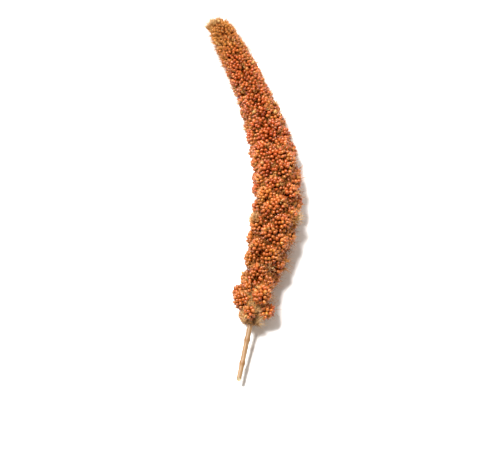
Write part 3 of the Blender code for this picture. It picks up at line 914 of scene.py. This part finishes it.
class MILLET_OT_husks(bpy.types.Operator):
    """Adds papery husk scales at the foot of the grains."""

    bl_idname = "millet.husks"
    bl_label = "Husk scales"

    def execute(self, context):
        sizes = context.scene.millet_sizes
        spots = grain_places(sizes.pitch, sizes.grain_length)
        rng = np.random.default_rng(SEEDS["husks"])
        husked = np.interp(spots.place[:, 2], TIP_SPAN, HUSKED_SHARE)
        hugging = np.flatnonzero(~spots.bare & (rng.uniform(0, 1, len(spots.bare)) < husked))
        chosen = np.append(hugging, np.repeat(np.flatnonzero(spots.bare), EMPTY_HUSKS))
        count = len(chosen)
        empty = (np.arange(count) >= len(hugging)).astype(int)
        place = spots.place[chosen]
        forward, side, third = grain_axes(spots.normal[chosen], rng)
        size = rng.uniform(*HUSK_SCALES, count) * spots.scale[chosen]
        size = (size * np.interp(place[:, 2], TIP_SPAN, (1.0, TIP_HUSK)))[:, None]
        # A scale is a flat bar along a path that goes aside and up from the spikelet's foot, so it
        # hugs the grain, or spreads where there is none
        aside = (size * (sizes.grain_width * HUSK_ASIDE[empty]))[..., None]
        climb = (size * (sizes.husk_length * HUSK_CLIMB[empty]))[..., None]
        path = place[:, None] + aside * side[:, None] + climb * forward[:, None]
        radii = (size * sizes.husk_length * HUSK_WIDTHS)[:, :, None, None]
        v = angles(HUSK_SIDES)[:, None]
        ring = np.cos(v) * third[:, None] - HUSK_THICKNESS * np.sin(v) * side[:, None]
        rings = path[:, :, None] + radii * ring[:, None]
        foot = path[:, 0] - HUSK_FOOT * sizes.husk_length * forward
        end = unit(forward + HUSK_BOW * side)
        top = path[:, 2] + HUSK_RISE * sizes.husk_length * size * end
        tone = np.where(empty, *(rng.uniform(*span, count) for span in HUSK_TONES))
        tone = np.clip(tone + HUSK_PALER * (place[:, 2] > HUSK_PALE_FROM), 0, 1)
        # Painted shade: each scale is darker towards its root, among the grains
        per_scale = np.append(np.repeat(HUSK_PAINTED_LIGHT, HUSK_SIDES), [0.0, 1.0])
        marks = {
            "tone": np.repeat(tone, len(per_scale)),
            "open": np.outer(spots.open[chosen], per_scale).ravel(),
        }
        paper = papery_husk(context.scene.millet_colours)
        add_piece("husk_scales", *closed_bodies(rings, foot, top), paper, **marks)
        return {"FINISHED"}


def hairs(roots, directions, lengths, radii, bow, rng):
    """Thin tapered hairs of three sides, and how high up its hair each point is.

    A hair's path is root + L (d t + w t^2), w being a random sideways bow. Real bristles are about
    0.1 mm thick and wool 0.03 mm. Both are drawn thicker, as they would be too fine to show.
    """
    share = HAIR_AT[:, None]
    sideways = rng.normal(0, bow, directions.shape)
    way = directions[:, None] * share + sideways[:, None] * share**2
    path = roots[:, None] + lengths[:, None, None] * way
    rings = tubes(path[:, :-1], radii[:, None] * HAIR_TAPER, HAIR_SIDES)
    foot = path[:, 0] - HAIR_ROOT * lengths[:, None] * directions
    heights = np.append(np.repeat(HAIR_AT[:-1], HAIR_SIDES), [0.0, 1.0])
    return *closed_bodies(rings, foot, path[:, -1]), np.tile(heights, len(roots))


class MILLET_OT_bristles(bpy.types.Operator):
    """Adds the fine bristles that stand between the grains."""

    bl_idname = "millet.bristles"
    bl_label = "Bristles"

    def execute(self, context):
        sizes, colours = context.scene.millet_sizes, context.scene.millet_colours
        spots = grain_places(sizes.pitch, sizes.grain_length)
        rng = np.random.default_rng(SEEDS["bristles"])
        usual, if_painted_lit, at_tip, if_bare = BRISTLE_WEIGHTS
        tip_weight = np.interp(spots.place[:, 2], TIP_SPAN, (0.0, at_tip))
        weight = usual + if_painted_lit * spots.open + tip_weight + if_bare * spots.bare
        pick = rng.choice(len(weight), BRISTLES, p=weight / weight.sum())
        normal = spots.normal[pick]
        forward = outgrowing(normal, BRISTLE_LEAN, BRISTLE_SCATTER, rng)
        around = unit(np.cross(forward, rng.normal(0, 1, forward.shape)))
        root = spots.place[pick] - BRISTLE_DEPTH * sizes.grain_length * normal
        root = root + BRISTLE_ASIDE * sizes.pitch * around
        share = rng.uniform(*BRISTLE_SHARES, BRISTLES)
        share = share + np.minimum(rng.exponential(FRINGE_MEAN, BRISTLES), FRINGE_MOST)
        length = sizes.bristle_length * share
        radius = sizes.bristle_radius * rng.uniform(*BRISTLE_RADII, BRISTLES)
        bristle = dry_bristle("dry_bristle", colours.shaded_bristle_root, colours.bristle)
        upper = spots.place[pick, 2] > BRISTLE_SPLIT
        for name, own in (("bristles_lower", ~upper), ("bristles_upper", upper)):
            bars = root[own], forward[own], length[own], radius[own]
            points, faces, height = hairs(*bars, BRISTLE_BOW, rng)
            # Painted shade: darker towards the root and in the seams
            lit = height * np.repeat(spots.open[pick][own], len(height) // own.sum())
            add_piece(name, points, faces, bristle, height=lit)
        return {"FINISHED"}


def add_stem(felt):
    """The felted stem end: its radius, times 1 + a cos(7 v + 1.3 sin 400 s) + b sin(3 v + 900 s)
    for uneven ribs that wind a little."""
    rows, sides = 40, 28
    along = np.linspace(0.2 * MM, STEM_AT[-1], rows)[:, None]
    v = angles(sides)
    ribs = 1 + STEM_RIBS[0] * np.cos(7 * v + 1.3 * np.sin(along * 400))
    ribs = ribs + STEM_RIBS[1] * np.sin(3 * v + along * 900)
    stem = polar(np.interp(along, STEM_AT, STEM_RADIUS) * ribs, v, along)
    ends = np.outer([0.1 * MM, STEM_AT[-1] + 0.5 * MM], TIPWARD)
    add_piece("felted_stem", *closed_bodies(stem[None], ends[:1], ends[1:]), felt)


def add_branchlets(felt):
    """The short branches to the loose clusters: bars p + (q - p) t from inside the stem, bowed
    back by 4 b t (1 - t)."""
    centre, _, _ = loose_clusters()
    back = BRANCH_BACK * np.hypot(centre[:, 0], centre[:, 1])
    start = centre * np.array([BRANCH_OUT, BRANCH_OUT, 1.0]) - np.outer(back, TIPWARD)
    share = np.linspace(0, 1, BRANCH_STEPS)[:, None]
    bow = BRANCH_BOW * (4 * share * (1 - share)) * TIPWARD
    path = start[:, None] + (centre - start)[:, None] * share - bow
    radii = np.broadcast_to(np.linspace(*BRANCH_RADII, BRANCH_STEPS) * MM, path.shape[:2])
    bars = closed_bodies(tubes(path, radii, 7), path[:, 0], path[:, -1])
    add_piece("branchlets", *bars, felt)


def add_wool(sizes, colours, rng):
    """Short wool all over the stem end."""
    turn = rng.uniform(0, 2 * math.pi, WOOL_HAIRS)
    root = polar(WOOL_OUT * RACHIS_RADIUS, turn, rng.uniform(*WOOL_SPAN, WOOL_HAIRS))
    way = outgrowing(polar(1.0, turn, 0.0), WOOL_LEAN, WOOL_SCATTER, rng)
    length = sizes.wool_length * rng.uniform(*WOOL_SHARES, WOOL_HAIRS)
    radius = np.full(WOOL_HAIRS, WOOL_RADIUS)
    points, faces, height = hairs(root, way, length, radius, WOOL_BOW, rng)
    wool = dry_bristle("stem_wool", colours.wool_dark, colours.wool)
    add_piece("stem_wool", points, faces, wool, height=height)


def add_tufts(sizes, colours, rng):
    """Tufts on a spiral round the stem end, some that stand out of the head, and one that ends the
    tip."""
    at, turned, each = (np.array(column) for column in zip(*SIDE_TUFTS))
    turned = np.radians(turned)
    stem_at = np.linspace(*STEM_TUFT_SPAN, STEM_TUFTS)
    stem_out = STEM_TUFT_OUT * np.interp(stem_at, STEM_AT[:2], STEM_RADIUS[:2])
    spiral = STEM_TUFT_TURN + np.arange(STEM_TUFTS) * GOLDEN_TURN
    outs = np.append(stem_out, out_to_envelope(at, turned) - TUFT_INSET)
    hairs_of = np.append(np.full(STEM_TUFTS, TUFT_HAIRS), each)
    columns = outs, np.append(spiral, turned), np.append(stem_at, at)
    out, turn, along = (np.repeat(column, hairs_of) for column in columns)
    root = polar(out, turn, along)
    root += rng.uniform(-TUFT_SPREAD, TUFT_SPREAD, root.shape)
    way = outgrowing(polar(1.0, turn, 0.0), TUFT_LEAN, TUFT_SCATTER, rng)

    tip_out = polar(1.0, rng.uniform(0, 2 * math.pi, TIP_HAIRS), 0.0)
    tip_root = tip_out * rng.uniform(0, TIP_SPREAD, TIP_HAIRS)[:, None] + TIP_TUFT
    tip_way = outgrowing(TIP_FLARE * tip_out + TIP_WAY, 0.0, TIP_SCATTER, rng)
    share = rng.uniform(*TUFT_SHARES, len(root))
    share = np.append(share, rng.uniform(*TIP_SHARES, TIP_HAIRS))
    root, way = np.vstack([root, tip_root]), np.vstack([way, tip_way])
    length, radius = sizes.tuft_length * share, np.full(len(root), TUFT_RADIUS)
    points, faces, height = hairs(root, way, length, radius, TUFT_BOW, rng)
    tuft = dry_bristle("tuft_bristle", colours.tuft_root, colours.tuft)
    add_piece("barren_tufts", points, faces, tuft, height=height)


class MILLET_OT_rachis(bpy.types.Operator):
    """Adds the felted stem end, its wool, the short branches and the barren bristly tufts."""

    bl_idname = "millet.rachis"
    bl_label = "Stem end and tufts"

    def execute(self, context):
        sizes, colours = context.scene.millet_sizes, context.scene.millet_colours
        rng = np.random.default_rng(SEEDS["stem"])
        felt = felted_stem(colours)
        add_stem(felt)
        add_branchlets(felt)
        add_wool(sizes, colours, rng)
        add_tufts(sizes, colours, rng)
        return {"FINISHED"}


class MILLET_OT_stalk(bpy.types.Operator):
    """Adds the ribbed straw stalk with its joints and slanted cut."""

    bl_idname = "millet.stalk"
    bl_label = "Stalk"

    def execute(self, context):
        rows, sides = 110, 30
        along = np.linspace(-STALK_LENGTH, SOCKET_DEPTH - 0.4 * MM, rows)
        v = angles(sides)
        # Its radius tapers, rises by exp(-(s / w)^2) at a joint, and has ribs of 1 + a cos 10 v.
        # The rings lean with the cut, by a share that dies away as exp(-s / b)
        radius = np.interp(along, [-STALK_LENGTH, 0.0], [STALK_CUT_RADIUS, STALK_RADIUS])
        joint = sum(np.exp(-(((along - at) / STALK_JOINT_WIDTH) ** 2)) for at in STALK_JOINTS)
        radius = radius + STALK_JOINT_RISE * joint
        across = radius[:, None] * (1 + STALK_RIB_DEPTH * np.cos(STALK_RIBS * v))
        slant = math.tan(STALK_CUT_SLANT) * np.exp(-(along[:, None] + STALK_LENGTH) / CUT_BLEND)
        stalk = polar(across, v, along[:, None] + across * np.sin(v) * slant)
        end = -STALK_LENGTH * TIPWARD
        cut = end + CUT_SHARES[:, None, None] * (stalk[0] - end)
        cut = cut + CUT_DIPS[:, None, None] * TIPWARD
        rings = np.concatenate([cut, stalk[1:]])
        ends = np.outer([-STALK_LENGTH + 0.3 * MM, along[-1] + 0.1 * MM], TIPWARD)
        points, faces = closed_bodies(rings[None], ends[:1], ends[1:])
        along_pith = np.append(CUT_PITH, np.zeros(rows - 1))
        pith = np.append(np.repeat(along_pith, sides), [1, 0])
        along_joints = np.append(np.zeros(len(CUT_SHARES)), joint[1:])
        brown = np.append(np.repeat(along_joints, sides), [0, 0])
        marks = {"pith": pith, "joint": np.clip(brown, 0, 1), "straight": points}
        straw = ribbed_straw(context.scene.millet_colours)
        add_piece("straw_stalk", points, faces, straw, "straw", "stalk", **marks)
        return {"FINISHED"}


def aim(thing, place, direction):
    """Puts a camera or a lamp at a place, looking in a direction."""
    thing.location = place
    thing.rotation_euler = direction.to_track_quat("-Z", "Y").to_euler()
    bpy.context.scene.collection.objects.link(thing)


class MILLET_OT_stage(bpy.types.Operator):
    """Adds the pale floor, the soft studio light and the camera at the photo's angle."""

    bl_idname = "millet.stage"
    bl_label = "Stage"

    def execute(self, context):
        scene = context.scene
        half = scene.millet_sizes.floor_size / 2
        corners = [(-half, -half, 0), (half, -half, 0), (half, half, 0), (-half, half, 0)]
        mesh = bpy.data.meshes.new("floor")
        mesh.from_pydata(corners, [], [(0, 1, 2, 3)])
        mesh.materials.append(new_material("matt_pale_floor", linear("#F4F3F1"), 0.9)[0])
        floor = bpy.data.objects.new("floor", mesh)
        scene.collection.objects.link(floor)

        level, sink = math.cos(CAMERA_ELEVATION), -math.sin(CAMERA_ELEVATION)
        forward = level * math.sin(CAMERA_HEADING), level * math.cos(CAMERA_HEADING), sink
        forward = Vector(forward)
        right = forward.cross(Vector((0, 0, 1))).normalized()
        up = right.cross(forward)
        middle = Vector(bend(np.outer([0, HEAD_LENGTH], TIPWARD)).mean(axis=0))
        right_by = (FRAME_SIZE[0] / 2 - CHORD_MIDDLE_PIXEL[0]) * METRES_PER_PIXEL
        down_by = (FRAME_SIZE[1] / 2 - CHORD_MIDDLE_PIXEL[1]) * METRES_PER_PIXEL
        target = middle + right * right_by - up * down_by
        data = bpy.data.cameras.new("camera")
        data.sensor_width = SENSOR_WIDTH
        data.lens = SENSOR_WIDTH * CAMERA_DISTANCE / (FRAME_SIZE[0] * METRES_PER_PIXEL)
        data.clip_start, data.clip_end = CAMERA_CLIP
        camera = bpy.data.objects.new("camera", data)
        aim(camera, target - forward * CAMERA_DISTANCE, forward)
        scene.camera = camera

        for name, kind, place, settings in LIGHTS:
            light = bpy.data.lights.new(name, kind)
            for field, value in settings.items():
                setattr(light, field, value)
            aim(bpy.data.objects.new(name, light), place, -Vector(place))
        world = bpy.data.worlds.new("studio")
        world.use_nodes = True
        background = world.node_tree.nodes["Background"].inputs
        background["Color"].default_value = linear("#FFFFFF")
        background["Strength"].default_value = WORLD_STRENGTH
        scene.world = world
        scene.view_settings.view_transform = "Standard"
        return {"FINISHED"}


PIECES = (
    MILLET_OT_inner_body,
    MILLET_OT_grains,
    MILLET_OT_husks,
    MILLET_OT_bristles,
    MILLET_OT_rachis,
    MILLET_OT_stalk,
    MILLET_OT_stage,
)


class MILLET_PT_panel(bpy.types.Panel):
    """Lists the pieces of the head, with its sizes and colours."""

    bl_idname = "MILLET_PT_panel"
    bl_label = "Foxtail millet head"
    bl_space_type = "VIEW_3D"
    bl_region_type = "UI"
    bl_category = "Millet"

    def draw(self, context):
        for piece in PIECES:
            self.layout.operator(piece.bl_idname)
        for group in (context.scene.millet_sizes, context.scene.millet_colours):
            column = self.layout.column()
            for name in group.bl_rna.properties.keys():
                if name not in ("rna_type", "name"):
                    column.prop(group, name)


CLASSES = (MilletColours, MilletSizes, *PIECES, MILLET_PT_panel)


def register():
    for kind in CLASSES:
        bpy.utils.register_class(kind)
    bpy.types.Scene.millet_colours = bpy.props.PointerProperty(type=MilletColours)
    bpy.types.Scene.millet_sizes = bpy.props.PointerProperty(type=MilletSizes)


def unregister():
    del bpy.types.Scene.millet_sizes
    del bpy.types.Scene.millet_colours
    for kind in reversed(CLASSES):
        bpy.utils.unregister_class(kind)


def main():
    register()
    bpy.ops.millet.inner_body()
    bpy.ops.millet.grains()
    bpy.ops.millet.husks()
    bpy.ops.millet.bristles()
    bpy.ops.millet.rachis()
    bpy.ops.millet.stalk()
    bpy.ops.millet.stage()
    bpy.context.view_layer.update()


if __name__ == "__main__":
    main()
